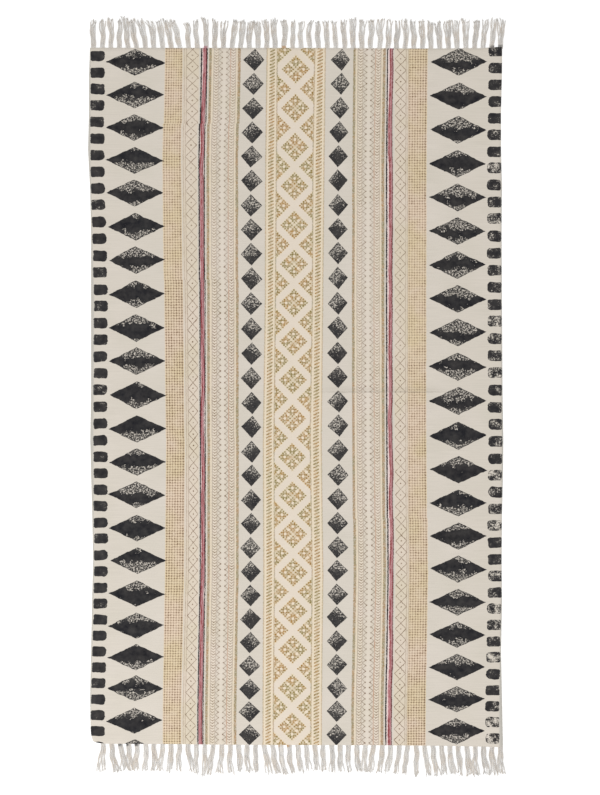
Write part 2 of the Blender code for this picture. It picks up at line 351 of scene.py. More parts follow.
# The pattern's places, in millimetres. A fine tremble of up to 1.5 mm, in waves of 3.6 mm,
# stands for the carved blocks' soft edges.
seen = node("Attribute", attribute_name="pattern_across").outputs["Fac"]
run = node("Attribute", attribute_name="pattern_along").outputs["Fac"]
flat_place = node("CombineXYZ", seen, run, 0.0)
tremble = node("TexNoise", flat_place, None, 0.28, 1.0, 0.5).outputs["Color"]
tremble = node("VectorMath SUBTRACT", tremble, (0.5, 0.5, 0.5))
tremble = node("VectorMath MULTIPLY", tremble, (3.0, 3.0, 0.0))
inked = node("SeparateXYZ", node("VectorMath ADD", flat_place, tremble))
u = inked.outputs["X"]
v = inked.outputs["Y"]
out = node("Math ABSOLUTE", u)
right_side = node("Math GREATER_THAN", u, 0.0)

# Three noises that the inks share: speckle of bare thread, clouds of ink, and long drifts. Real
# speckle is taken to be as fine as the thread, and is drawn coarser so that it shows.
SPECKLE = 3.6
CLOUD = 16.0
DRIFT = 90.0
speckle = node("TexNoise", flat_place, None, 1 / SPECKLE, 3.0, 0.8)
cloud = node("TexNoise", flat_place, None, 1 / CLOUD, 2.0, 0.55)
drift = node("TexNoise", flat_place, None, 1 / DRIFT, 2.0, 0.5)

# The banded blocks are 343 mm long. Each is set down a millimetre off its neighbour, with its
# own load of ink.
BLOCK_LENGTH = 343.0
block = node("Math MULTIPLY_ADD", right_side, 177.0, -254.5)
block = node("Math ADD", run, block)
block = node("Math FLOOR", node("Math MULTIPLY", block, 1 / BLOCK_LENGTH))
block_chance = node("TexWhiteNoise", node("CombineXYZ", block, right_side, 5.0))
block_chance = node("SeparateXYZ", block_chance.outputs["Color"])
block_step = node("Math MULTIPLY_ADD", block_chance.outputs["X"], 2.4, -1.2)
band_u = node("Math ADD", u, block_step)
band_out = node("Math ABSOLUTE", band_u)
block_load = node("Math MULTIPLY_ADD", block_chance.outputs["Y"], 0.3, 0.85)


def from_line(place, centre):
    """Distance to either side of a line: the place less the line's own, without its sign."""
    return node("Math ABSOLUTE", node("Math SUBTRACT", place, centre))


def from_point(x, y):
    """Distance from the point where both places are nought: the root of their squares' sum."""
    return node("VectorMath LENGTH", node("CombineXYZ", x, y, 0.0)).outputs["Value"]


def stripe(place, centre, half_width, soft):
    """1 on a line along the cloth and 0 off it: the distance from the line's middle, less half
    its width, over a soft edge."""
    away = from_line(place, centre)
    return node("Math MULTIPLY_ADD", away, -1 / soft, 0.5 + half_width / soft, use_clamp=True)


def two_sided(left, right):
    """A place measured from `left` on the left half of the cloth and from `right` on the other,
    for a block that is printed the same way round on both."""
    moved = node("Math SUBTRACT", band_u, left)
    return node("Math MULTIPLY_ADD", right_side, left - right, moved)


def together(*masks):
    """The strongest of several masks."""
    first, *others = masks
    for other in others:
        first = node("Math MAXIMUM", first, other)
    return first


def laid_over(ground, mask, strength, colour):
    """A wash or ink of one colour over the ground, at a strength where the mask is 1."""
    return node("MixRGB", node("Math MULTIPLY", mask, strength), ground, linear(colour))


STRAY = 0.8                   # how far a motif lies off its place, millimetres


def motif_frame(number_name, centre, pitch, family, turn):
    """A motif's own coordinates: across from its lane's middle and along from its number's
    nearest whole one, moved and turned by chance. Returns both and three chance values."""
    number = node("Attribute", attribute_name=number_name).outputs["Fac"]
    whole = node("Math ROUND", number)
    chance = node("TexWhiteNoise", node("CombineXYZ", whole, right_side, family))
    chance = node("SeparateXYZ", chance.outputs["Color"])
    part = node("Math SUBTRACT", whole, number)
    x = node("Math SUBTRACT", out, centre)
    y = node("Math MULTIPLY", part, pitch)
    shift_x, shift_y, lean = (
        node("Math MULTIPLY_ADD", chance.outputs[axis], 2 * most, -most)
        for axis, most in (("X", STRAY), ("Y", STRAY), ("Z", turn)))
    x = node("Math ADD", x, shift_x)
    y = node("Math ADD", y, shift_y)
    lean_y = node("Math MULTIPLY_ADD", x, lean, y)
    back = node("Math MULTIPLY", lean, -1.0)
    lean_x = node("Math MULTIPLY_ADD", y, back, x)
    return lean_x, lean_y, chance


def rhombus(x, y, half_across, half_along):
    """Distance in millimetres inside the sides of a rhombus, from x over its half width plus y
    over its half length."""
    slope = 1 / np.hypot(1 / half_across, 1 / half_along)
    x = node("Math ABSOLUTE", x)
    y = node("Math ABSOLUTE", y)
    x = node("Math MULTIPLY_ADD", x, -slope / half_across, slope)
    return node("Math MULTIPLY_ADD", y, -slope / half_along, x)


BLOCK_EDGE = 0.5              # over which a carved edge's ink fades, millimetres
SPECK_CONTRAST = 9.0


def pressed(inside, wet):
    """Ink from a solid block: full where it was wet, broken into specks where it was dry. The
    speckle is cut at a level that rises with the wetness, and the shape's edge, which the block
    presses a little harder, cuts it off."""
    rim_press = node("Math MULTIPLY_ADD", inside, -0.07, 0.12, use_clamp=True)
    wet = node("Math ADD", wet, rim_press)
    level = node("Math SUBTRACT", wet, speckle)
    ink = node("Math MULTIPLY_ADD", level, SPECK_CONTRAST, 0.5, use_clamp=True)
    shape = node("Math MULTIPLY_ADD", inside, 1 / BLOCK_EDGE, 0.5, use_clamp=True)
    return node("Math MULTIPLY", ink, shape)


# Big black diamonds, one lane at each side: 125 by 59 mm. Each has a wet core at a height of its
# own, with a ragged edge, and is dry and speckled above and below it.
DIAMOND_LANE = 350.6
DIAMOND_PITCH = 72.6
DIAMOND_HALF_ACROSS = 62.4
DIAMOND_HALF_ALONG = 29.7
ragged = node("Math MULTIPLY_ADD", cloud, 1.7, -0.85)
x, y, chance = motif_frame("diamond_number", DIAMOND_LANE, DIAMOND_PITCH, 1.0, 0.025)
diamond = rhombus(x, y, DIAMOND_HALF_ACROSS, DIAMOND_HALF_ALONG)
edge_tremble = node("Math MULTIPLY_ADD", cloud, 5.0, -2.5)
diamond = node("Math ADD", diamond, edge_tremble)
core_height = node("Math MULTIPLY_ADD", chance.outputs["X"], 22.0, -11.0)
from_core = node("Math MULTIPLY_ADD", from_line(y, core_height), 1 / 29.5, ragged)
core_half = node("Math MULTIPLY_ADD", chance.outputs["Y"], 0.34, 0.05)
dryness = node("Math SUBTRACT", from_core, core_half)
dryness = node("Math MULTIPLY", dryness, 3.0, use_clamp=True)
worn_edge = node("Math MULTIPLY_ADD", diamond, -1 / 7.0, 0.7)
worn_edge = node("Math MULTIPLY_ADD", ragged, 1.5, worn_edge, use_clamp=True)
dryness = together(dryness, worn_edge)
wet = node("Math MULTIPLY_ADD", dryness, -0.31, 0.85)
tips = node("Math ABSOLUTE", x)
tips = node("Math MULTIPLY_ADD", tips, 0.02, -0.82, use_clamp=True)
wet = node("Math ADD", wet, tips)
big_ink = pressed(diamond, wet)

# Bars along both long edges: 31 by 23 mm, round-cornered, and blunter on the inner side by chance
BAR_LANE = 431.6
BAR_PITCH = 36.3
BAR_HALF_ACROSS = 15.5
BAR_HALF_ALONG = 11.4
x, y, chance = motif_frame("bar_number", BAR_LANE, BAR_PITCH, 2.0, 0.05)
inner = node("Math LESS_THAN", x, 0.0)
bluntness = node("Math MULTIPLY_ADD", chance.outputs["Z"], 5.0, 1.5)
bluntness = node("Math MULTIPLY_ADD", bluntness, inner, 3.6)
corner = []
for place, half in ((x, BAR_HALF_ACROSS), (y, BAR_HALF_ALONG)):
    past = node("Math SUBTRACT", node("Math ABSOLUTE", place), half)
    past = node("Math ADD", past, bluntness)
    corner.append(node("Math MAXIMUM", past, 0.0))
bar = node("Math SUBTRACT", bluntness, from_point(*corner))
bar = node("Math ADD", bar, edge_tremble)
wet = node("Math MULTIPLY_ADD", chance.outputs["Y"], 0.2, 0.65)
wet = node("Math MULTIPLY_ADD", right_side, -0.13, wet)
patch = node("Math MULTIPLY_ADD", cloud, 0.7, -0.35)
wet = node("Math ADD", wet, patch)
bar_ink = node("Math MULTIPLY", pressed(bar, wet), 0.985)

# Small black squares set on their points, one lane at each side of the middle: 46 by 48 mm. The
# dry part of each lies to one side of a slanting line.
SQUARE_LEFT_LANE = 98.5
SQUARE_RIGHT_LANE = 91.0
SQUARE_PITCH = 52.7
SQUARE_HALF_ACROSS = 23.0
SQUARE_HALF_ALONG = 24.2
square_lane = node("Math MULTIPLY_ADD", right_side, SQUARE_RIGHT_LANE - SQUARE_LEFT_LANE,
                   SQUARE_LEFT_LANE)
x, y, chance = motif_frame("square_number", square_lane, SQUARE_PITCH, 3.0, 0.05)
square = rhombus(x, y, SQUARE_HALF_ACROSS, SQUARE_HALF_ALONG)
slant = node("Math MULTIPLY_ADD", chance.outputs["Z"], 1.6, -0.8)
slant = node("Math MULTIPLY_ADD", slant, x, y)
dryness = node("Math MULTIPLY_ADD", slant, 1 / 24.0, ragged)
wet_part = node("Math MULTIPLY_ADD", chance.outputs["X"], 0.8, -0.85)
dryness = node("Math SUBTRACT", dryness, wet_part)
dryness = node("Math MULTIPLY", dryness, 1.4, use_clamp=True)
wet = node("Math MULTIPLY_ADD", dryness, -0.13, 0.665)
square_ink = node("Math MULTIPLY", pressed(square, wet), 0.98)

# The check band: seven columns 5.6 mm apart and rows 5.89 mm apart, darker where they cross
COLUMN_PITCH = 5.6
ROW_PITCH = 5.89
check = two_sided(-269.7, 263.0)
check_band = stripe(check, 0.0, 19.5, 1.0)
column = node("Math PINGPONG", check, COLUMN_PITCH / 2)
column = node("Math MULTIPLY_ADD", column, -1.05, 1.6, use_clamp=True)
row = node("Math PINGPONG", v, ROW_PITCH / 2)
row = node("Math MULTIPLY_ADD", row, -1.05, 1.6, use_clamp=True)
crossing = node("Math MULTIPLY", column, row)
threads = node("Math ADD", column, row)
threads = node("Math MULTIPLY_ADD", crossing, 0.5, threads)
check_ink = node("Math MULTIPLY", threads, check_band)
broad_column = stripe(check, 16.8, 2.0, 1.2)
check_ink = node("Math MULTIPLY_ADD", broad_column, 0.3, check_ink)
check_ink = node("Math MULTIPLY", check_ink, 0.44)

# The trellis beside it: two zigzags that cross every 25.2 mm and reach 11.5 mm to either side,
# with a dot in each eye, and a double line that parts it from the checks
EYE_PITCH = 25.2
EYE_HALF_ACROSS = 11.5
LEG_SLOPE = 0.913
trellis_middle = node("Math MULTIPLY_ADD", right_side, -2.7, 229.4)
trellis_across = node("Math SUBTRACT", band_out, trellis_middle)
eye_phase = node("Math MULTIPLY_ADD", right_side, 7.3, -297.3)
eye = node("Math ADD", v, eye_phase)
eye = node("Math PINGPONG", eye, EYE_PITCH / 2)
leg = node("Math ABSOLUTE", trellis_across)
leg = node("Math MULTIPLY_ADD", eye, LEG_SLOPE, leg)
leg = from_line(leg, EYE_HALF_ACROSS)
trellis = node("Math MULTIPLY_ADD", leg, -0.95, 1.25, use_clamp=True)
trellis_band = stripe(trellis_across, 0.0, 12.0, 0.6)
trellis = node("Math MULTIPLY", trellis, trellis_band)
dot = node("Math MULTIPLY_ADD", from_point(trellis_across, eye), -1.0, 2.0, use_clamp=True)
double_line = together(stripe(trellis_across, 11.7, 0.8, 1.0),
                       stripe(trellis_across, 16.1, 0.8, 1.0))
double_line = node("Math MULTIPLY", double_line, 0.5)

# The fine block between the ochre stripes: two rows of small chevrons, points to the foot, and
# two facing zigzags with a dot at each point. Places are from the block's left ochre stripe.
CHEVRONS_A = 13.4
CHEVRONS_B = 51.0
CHEVRON_PITCH = 6.27
CHEVRON_SLOPE = 0.7
ZIGZAG_MIDDLE = 31.4
ZIGZAG_REACH = 4.9
ZIGZAG_PITCH = 12.51
fine = two_sided(-193.5, 127.0)
chevron_bands = together(stripe(fine, CHEVRONS_A, 4.8, 0.8), stripe(fine, CHEVRONS_B, 4.9, 0.8))
fold = node("Math MINIMUM", from_line(fine, CHEVRONS_A), from_line(fine, CHEVRONS_B))
vee = node("Math SUBTRACT", v, 2.4)
vee = node("Math MULTIPLY_ADD", fold, -CHEVRON_SLOPE, vee)
vee = node("Math PINGPONG", vee, CHEVRON_PITCH / 2)
between_vees = node("Math MULTIPLY_ADD", vee, 0.9, -1.5, use_clamp=True)
between_vees = node("Math MULTIPLY", between_vees, chevron_bands)
between_vees = node("Math MULTIPLY", between_vees, 0.9)
vee = node("Math MULTIPLY_ADD", vee, -0.9, 1.5, use_clamp=True)
point = node("Math MULTIPLY_ADD", fold, -0.6, 1.0, use_clamp=True)
point = node("Math MULTIPLY_ADD", point, 0.35, 0.6)
vee = node("Math MULTIPLY", vee, point)
chevrons = node("Math MULTIPLY", vee, chevron_bands)
zig_phase = node("Math MULTIPLY_ADD", right_side, 7.1, -295.5)
zig = node("Math ADD", v, zig_phase)
zig = node("Math PINGPONG", zig, ZIGZAG_PITCH / 2)
zag = node("Math SUBTRACT", from_line(fine, ZIGZAG_MIDDLE), ZIGZAG_REACH)
tip = node("Math MULTIPLY_ADD", from_point(zag, zig), -0.8, 1.7, use_clamp=True)
arm = node("Math MULTIPLY_ADD", zig, -1.15, zag)
arm = node("Math ABSOLUTE", arm)
arm = node("Math MULTIPLY_ADD", arm, -0.7, 1.2, use_clamp=True)
arm = node("Math MULTIPLY", arm, stripe(zag, 3.6, 3.9, 0.6))
zigzags = node("Math MULTIPLY", arm, 0.75)
thin_lines = together(stripe(fine, 8.0, 0.9, 0.9), stripe(fine, 18.4, 0.9, 0.9),
                      stripe(fine, 56.4, 0.9, 0.9))
thin_lines = node("Math MULTIPLY", thin_lines, 0.45)
rust_line = node("Math MULTIPLY", stripe(fine, 44.8, 1.1, 0.9), 0.65)
ochre_stripes = together(stripe(fine, 0.0, 2.8, 1.2), stripe(fine, 63.8, 2.9, 1.2))
ochre_stripes = node("Math MULTIPLY", ochre_stripes, 0.82)
peach_lines = together(stripe(fine, 5.0, 1.9, 1.2), stripe(fine, 58.8, 1.9, 1.2))

# The rose stripe between its dark outlines: it is a block of its own, so it slides from one
# outline to the other along the cloth and leaves a bare pink line beside it
rose = two_sided(-214.0, 196.6)
outline_a = stripe(rose, 1.6, 1.4, 0.7)
outline_b = stripe(rose, 12.9, 1.1, 0.7)
outline_b = node("Math MULTIPLY", node("Math MULTIPLY_ADD", right_side, -0.6, 1.0), outline_b)
slide_place = node("CombineXYZ", node("Math MULTIPLY", right_side, 400.0), run, 3.0)
slide = node("TexNoise", slide_place, None, 1 / 130, 2.0, 0.5)
slide = node("Math MULTIPLY_ADD", slide, 11.0, -5.5)
slide = node("Math MULTIPLY_ADD", right_side, -1.9, slide)
rose_across = node("Math ADD", rose, slide)
rose_across = node("Math SUBTRACT", rose_across, 7.4)
rose_band = stripe(rose_across, 0.0, 3.9, 0.8)
rose_bed = stripe(rose, 7.2, 5.4, 0.8)
worn_streak = node("Math MULTIPLY_ADD", cloud, 5.0, -3.2)
worn_streak = stripe(node("Math ADD", rose_across, worn_streak), 0.0, 0.5, 1.0)
wine_edge = stripe(rose_across, 3.4, 0.8, 1.0)

# The middle panel, which lies 6 mm to the left: a corded border at each side, and clusters of
# four carved flowers that are 80 mm apart across and 85 mm along, with half clusters between
# them against the border
PANEL_HALF = 39.9
BORDER_MIDDLE = 51.2
CORD_PITCH = 7.31
panel_out = node("Math ADD", u, 6.2)
panel_out = node("Math ABSOLUTE", panel_out)
border_line = stripe(panel_out, 63.0, 1.4, 0.9)
inner_line = stripe(panel_out, PANEL_HALF, 1.2, 0.9)
cord_across = node("Math SUBTRACT", panel_out, BORDER_MIDDLE)
cord_slope = node("Math MULTIPLY_ADD", right_side, -0.9, 0.45)
strand = node("Math ADD", v, -1.0)
strand = node("Math MULTIPLY_ADD", cord_across, cord_slope, strand)
strand = node("Math PINGPONG", strand, CORD_PITCH / 2)
strand = node("Math MULTIPLY_ADD", strand, -0.9, 2.0, use_clamp=True)
strand = node("Math MULTIPLY", strand, stripe(cord_across, 0.2, 6.1, 1.0))
core = node("Math MULTIPLY", stripe(cord_across, 0.0, 3.0, 1.6), 0.3)
cord = together(strand, core)

# Every place in the panel is folded into one quarter of the cluster that it is nearest to, and
# there into one petal's own half: a flower 16.6 mm from the middle, beaded in a square lattice
CLUSTER_PITCH = 84.6
CLUSTER_HALF_ACROSS = 31.0
CLUSTER_HALF_ALONG = 32.6
FLOWER_PLACE = 16.6
BEAD_STEP = 3.93
number = node("Attribute", attribute_name="cluster_number").outputs["Fac"]
bend = node("Math SUBTRACT", v, run)
along_cluster = node("Math MULTIPLY", number, CLUSTER_PITCH)
along_cluster = node("Math ADD", along_cluster, bend)
whole_y = node("Math PINGPONG", along_cluster, CLUSTER_PITCH / 2)
half_y = node("Math MULTIPLY_ADD", whole_y, -1.0, CLUSTER_PITCH / 2)
half_x = node("Math MULTIPLY_ADD", panel_out, -1.0, PANEL_HALF)
half_x = node("Math ABSOLUTE", half_x)
whole_is_near = node("Math LESS_THAN", node("Math ADD", panel_out, whole_y),
                     node("Math ADD", half_x, half_y))
cluster_x = node("Mix", whole_is_near, None, half_x, panel_out)
cluster_y = node("Mix", whole_is_near, None, half_y, whole_y)
far = node("Math MAXIMUM", cluster_x, cluster_y)
near = node("Math MINIMUM", cluster_x, cluster_y)
petal_x = node("Math SUBTRACT", far, FLOWER_PLACE)
petal = from_point(petal_x, near)
petal_x = node("Math ABSOLUTE", petal_x)
square_out = node("Math ADD", petal_x, near)
square_round = node("Math SUBTRACT", petal_x, near)
bead_place = []
for place, start in ((square_out, 4.82), (square_round, 11.8)):
    place = node("Math PINGPONG", node("Math ADD", place, start), BEAD_STEP)
    bead_place.append(node("Math MULTIPLY", place, 0.707))
bead = node("Math MULTIPLY_ADD", from_point(*bead_place), -0.9, 2.45, use_clamp=True)
ring = stripe(petal, 5.0, 1.8, 1.0)
diagonal = node("Math MULTIPLY_ADD", stripe(square_round, 0.0, 2.4, 1.6), 0.55, 0.45)
ring = node("Math MULTIPLY", ring, diagonal)
cluster_edge = rhombus(cluster_x, cluster_y, CLUSTER_HALF_ACROSS, CLUSTER_HALF_ALONG)
cluster = node("Math MULTIPLY_ADD", cluster_edge, 0.7, 0.5, use_clamp=True)
panel = stripe(panel_out, 0.0, PANEL_HALF, 0.8)
cluster = node("Math MULTIPLY", cluster, panel)
body = node("Math MULTIPLY_ADD", cluster_edge, 0.6, -0.9, use_clamp=True)
body = node("Math MULTIPLY", body, panel)
mottle = node("Math MULTIPLY_ADD", cloud, 1.8, -0.55, use_clamp=True)
body = node("Math MULTIPLY", body, mottle)
gap = from_point(node("Math SUBTRACT", cluster_x, 9.4), node("Math SUBTRACT", cluster_y, 9.4))
light_spot = node("Math MINIMUM", petal, gap)
light_spot = node("Math MULTIPLY_ADD", light_spot, -0.8, 3.1, use_clamp=True)
between = stripe(node("Math SUBTRACT", cluster_x, cluster_y), 0.0, 1.3, 2.0)
light_spot = together(light_spot, node("Math MULTIPLY", between, 0.5))
flower = together(node("Math MULTIPLY", bead, cluster), node("Math MULTIPLY", ring, cluster), body)
bare_spot = node("Math MULTIPLY_ADD", light_spot, -0.85, 1.0)
flower = node("Math MULTIPLY", flower, bare_spot)
light_spot = node("Math MULTIPLY", light_spot, cluster)

# The undyed cotton, with long thin slubs in its weft, and the washes that tint it
cream = node("MixRGB", drift, linear("CFC8BA"), linear("DBD2C8"))
slub_place = node("VectorMath MULTIPLY", flat_place, (0.016, 0.62, 0.0))
slub = node("TexNoise", slub_place, None, 1.0, 2.0, 0.6)
slub_tone = node("MapRange", slub, 0.3, 0.7, 0.95, 1.04)
cream = node("VectorMath MULTIPLY", cream, slub_tone)

wash = stripe(check, 0.0, 20.0, 1.0)
for mask, strength in (
    (stripe(trellis_across, 14.0, 4.5, 2.0), 0.45),
    (stripe(trellis_across, 0.0, 12.6, 1.0), 0.4),
    (stripe(fine, 31.6, 30.0, 2.0), 0.2),
    (chevron_bands, 0.4),
):
    wash = together(wash, node("Math MULTIPLY", mask, strength))
wash_tone = node("Math MULTIPLY_ADD", cloud, 0.7, 0.65, use_clamp=True)
wash = node("Math MULTIPLY", wash, wash_tone)
wash_shift = node("MapRange", drift, 0.4, 0.6, 0.0, 1.0)
wash_colour = node("MixRGB", wash_shift, linear("DFCCAA"), linear("E3CEB6"))
cream = node("MixRGB", wash, cream, wash_colour)
cream = laid_over(cream, cluster, 0.6, "E4D6AC")
pale = node("Math MULTIPLY", stripe(zag, -4.3, 3.6, 2.5), 0.45)
pale = together(light_spot, between_vees, pale)
pale = node("Math MULTIPLY", pale, 0.55, use_clamp=True)
cream = node("MixRGB", pale, cream, linear("EDE2D5"))
cream = laid_over(cream, peach_lines, 0.5, "EAD9BC")
cream = laid_over(cream, stripe(panel_out, 52.0, 11.4, 1.0), 0.55, "EFDCBB")
cream = laid_over(cream, stripe(panel_out, 0.0, 38.5, 1.0), 0.45, "EEDDC8")

# Ochre ink runs from olive through gold to rust along the cloth
ochre_shift = node("Math ADD", cloud, drift)
ochre_shift = node("MapRange", ochre_shift, 0.85, 1.15, 0.0, 1.0)
ochre = node("MixRGB", ochre_shift, linear("7C6C2A"), linear("966A28"))
ochre_cloud = node("MapRange", cloud, 0.46, 0.75, 0.0, 0.5)
ochre = node("MixRGB", ochre_cloud, ochre, linear("BC8E38"))
border_line = node("Math MULTIPLY", border_line, 0.5)
inner_line = node("Math MULTIPLY", inner_line, 0.6)
flower_ink = node("Math MULTIPLY", flower, 1.12)
ochre_mask = together(flower_ink, cord, ochre_stripes, border_line, inner_line)
ochre_level = node("Math MULTIPLY_ADD", speckle, -2.8, 2.15, use_clamp=True)
ochre_mask = node("Math MULTIPLY", ochre_mask, ochre_level)
coloured = node("MixRGB", ochre_mask, cream, ochre)

# Thin brown ink of the checks, the trellis and the fine block
brown_mask = together(check_ink, trellis, dot, double_line, chevrons, zigzags, tip, thin_lines)
brown_level = node("Math MULTIPLY_ADD", cloud, 1.2, 0.15, use_clamp=True)
brown_level = node("Math MULTIPLY", brown_level, block_load)
brown_mask = node("Math MULTIPLY", brown_mask, brown_level)
brown = node("MixRGB", drift, linear("705C42"), linear("7A5843"))
coloured = node("MixRGB", brown_mask, coloured, brown)
rust_line = node("Math MULTIPLY", rust_line, brown_level)
coloured = node("MixRGB", rust_line, coloured, linear("B07A55"))

# Rose pigment, wine red to one side and pink to the other, over a bed that it has stained
rose_level = node("Math MULTIPLY_ADD", speckle, -0.8, 1.35, use_clamp=True)
rose_mask = node("Math MULTIPLY", rose_band, rose_level)
coloured = node("MixRGB", rose_bed, coloured, linear("E6D0CB"))
rose_lean = node("Math MULTIPLY_ADD", drift, 1.7, -0.85)
rose_tone = node("Math MULTIPLY_ADD", rose_across, rose_lean, cloud)
rose_tone = node("MapRange", rose_tone, 0.25, 0.8, 0.0, 1.0)
rose_colour = node("MixRGB", rose_tone, linear("8C3C40"), linear("B4767B"))
coloured = node("MixRGB", rose_mask, coloured, rose_colour)
coloured = laid_over(coloured, worn_streak, 0.6, "DCB9BA")
coloured = laid_over(coloured, wine_edge, 0.6, "62363A")

# Black pigment, faded to charcoal and tinted a little by what lies under it
outline_level = node("Math MULTIPLY_ADD", cloud, 2.4, -0.05, use_clamp=True)
outlines = node("Math MULTIPLY", together(outline_a, outline_b), outline_level)
black_mask = together(big_ink, bar_ink, square_ink, outlines)
thin_ink = node("Math MULTIPLY_ADD", cloud, 0.13, 0.912, use_clamp=True)
black_mask = node("Math MULTIPLY", black_mask, thin_ink)
black = node("MixRGB", drift, linear("1D1F25"), linear("232123"))
coloured = node("MixRGB", black_mask, coloured, black)

# The cloth is greyer in a narrow strip beyond the bars, out to its long edges, and shade is painted
# along the fold
GREY_FROM = 445.5
# Grey laid over the last few millimetres out to each long edge
selvedge = node("Math MULTIPLY_ADD", out, 0.4, -0.4 * GREY_FROM, use_clamp=True)
coloured = laid_over(coloured, selvedge, 0.45, "A9AAA6")
# Painted shade of the cross fold: a thin darker line on it and a broader, fainter darker band
# beside it, over part of the right half
painted_fold_shade = stripe(v, CREASE_AT + 3.2, 0.8, 2.2)
fold_shade = node("Math MULTIPLY", stripe(v, CREASE_AT + 8.5, 4.0, 8.0), 0.22)
fold_reach = stripe(u, 190.0, 120.0, 60.0)
painted_fold_shade = node("Math MULTIPLY", together(painted_fold_shade, fold_shade), fold_reach)
coloured = laid_over(coloured, painted_fold_shade, 0.55, "8E857A")

# The underside shows only the bare cloth
printed_side = node("Attribute", attribute_name="printed_side").outputs["Fac"]
printed_side = node("Math GREATER_THAN", printed_side, 0.5)
coloured = node("MixRGB", printed_side, linear("D8D0C2"), coloured)

# The weave: rounds of weft in ribs across the cloth, each rib half a round on. The photo doesn't
# resolve them. Real ribs are taken to be about 1 mm apart, and are drawn coarser so that they show.
RIB_PITCH = 1.5
ROUND_LENGTH = 2.6
rib = node("Math MULTIPLY", run, 1 / RIB_PITCH)
rib_number = node("Math FLOOR", rib)
rib_wave = node("Math SINE", node("Math MULTIPLY", rib, np.pi))
step = node("Math MULTIPLY", seen, 1 / ROUND_LENGTH)
step = node("Math MULTIPLY_ADD", rib_number, 0.5, step)
step_wave = node("Math SINE", node("Math MULTIPLY", step, np.pi))
round_up = node("Math MULTIPLY", rib_wave, step_wave)
round_up = node("Math ABSOLUTE", round_up)
weave = node("Math MULTIPLY_ADD", slub, 1.2, round_up)
bump = node("Bump", 0.35, 0.0003)
tree.links.new(weave.outputs[0], bump.inputs["Height"])

shader = node("BsdfPrincipled", coloured, 0.0, 0.95)
shader.inputs["Specular IOR Level"].default_value = 0.12
tree.links.new(bump.outputs["Normal"], shader.inputs["Normal"])
node("OutputMaterial", shader)

# A map of the cloth named OFBake: the upper face takes nine tenths of it, and the bare
# underside a strip beside it. The rim's two bands are narrow frames round them.
FACE_WIDE = 0.92
STRIP_START = 0.945
FRAME = 0.003
EDGE = 0.006
share_across = across.ravel() / CLOTH_WIDTH + 0.5
share_along = along.ravel() / CLOTH_LENGTH + 0.5
map_along = EDGE + share_along * (1 - 2 * EDGE)
upper_map = np.stack((EDGE + share_across * (FACE_WIDE - EDGE), map_along), -1)
under_map = np.stack((STRIP_START + share_across * (1 - EDGE - STRIP_START), map_along), -1)
# At each place on the rim, the frame's width outward from the cloth: across, along or both
from_middle = np.stack((share_across[rim], share_along[rim]), -1) - 0.5
outward = FRAME * np.sign(np.round(from_middle, 6)) * (np.abs(from_middle) > 0.4999)
next_outward = np.roll(outward, -1, axis=0)
next_rim = np.roll(rim, -1)
upper_band_map = np.stack((upper_map[rim] + outward, upper_map[next_rim] + next_outward,
                           upper_map[next_rim], upper_map[rim]), axis=1)
lower_band_map = np.stack((under_map[rim], under_map[next_rim],
                           under_map[next_rim] + next_outward, under_map[rim] + outward), axis=1)
corner_maps = np.concatenate((upper_map[cells], under_map[cells[:, ::-1]],
                              upper_band_map, lower_band_map))
bake_map = cloth.data.uv_layers.new(name="OFBake")
bake_map.data.foreach_set("uv", corner_maps.ravel().astype(np.float32))

cloth.data.polygons.foreach_set("use_smooth", np.ones(len(faces), dtype=bool))
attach(cloth, "root")
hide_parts("rug_cloth")


# The fringes.
# The warp's own ends, left long past the last pick and gathered into 48 tassels at each end.
# Each tassel is three locks of two soft cotton yarns, loosely twisted, open at their tips.
# Rows of a fringe's table: tassel from the left, lean of its tip, spread of its tip, length
HEAD_TASSELS = np.array((
    (0, 1, 14, 64), (3, 0, 11, 67), (4, -6, 11, 70), (5, -16, 12, 63), (6, -16, 17, 67),
    (8, -8, 14, 64), (10, -20, 17, 65), (11, -3, 11, 58), (13, -2, 12, 70), (15, 4, 17, 61),
    (16, 9, 14, 62), (18, 5, 18, 62), (19, -1, 13, 60), (21, -2, 15, 67), (23, 3, 10, 62),
    (25, -1, 11, 61), (28, -7, 10, 60), (30, -1, 18, 67), (33, 3, 15, 65), (36, 1, 13, 65),
    (40, -3, 16, 63), (43, -3, 22, 67), (44, 6, 14, 61), (46, 6, 14, 66), (47, 0, 22, 65),
))
FOOT_TASSELS = np.array((
    (0, -7, 28, 65), (1, 12, 13, 63), (3, 8, 15, 63), (4, -2, 11, 59), (6, -3, 13, 61),
    (7, -7, 17, 62), (9, -3, 10, 62), (10, 7, 9, 62), (12, -2, 10, 71), (13, -9, 11, 70),
    (15, 0, 11, 65), (16, 5, 9, 60), (18, 3, 11, 62), (19, 13, 13, 66), (21, 10, 14, 67),
    (23, 7, 10, 60), (26, 2, 13, 59), (30, 5, 12, 62), (32, -9, 13, 61), (36, -7, 9, 65),
    (38, 9, 10, 68), (41, 7, 13, 66), (44, 5, 13, 65), (47, 4, 22, 61),
))
TASSELS = 48
LOCKS = 3
YARNS = 2
LOCK_PITCH = 3.5
REACH = 64.0                  # the length at which a tassel has its full lean and spread
YARN_RADIUS = 1.25
YARN_TWIST = 52.0             # millimetres to a turn of a lock
YARN_STATIONS = 18
YARN_SIDES = 6
INTO_CLOTH = 4.0
LENGTH_SCATTER = 1.5
LOCK_SCATTER = 2.5
BOW = 1.6
SWING_POWER = 1.4
PLIES = 3                     # that fray out of each yarn's tip
PLY_STATIONS = 6
PLY_RADIUS = 0.72
FIBRES = 3                    # that stand away from each tassel
FIBRE_STATIONS = 8
FIBRE_RADIUS = 0.26
LOOSE_SIDES = 3               # of a frayed ply and of a fibre


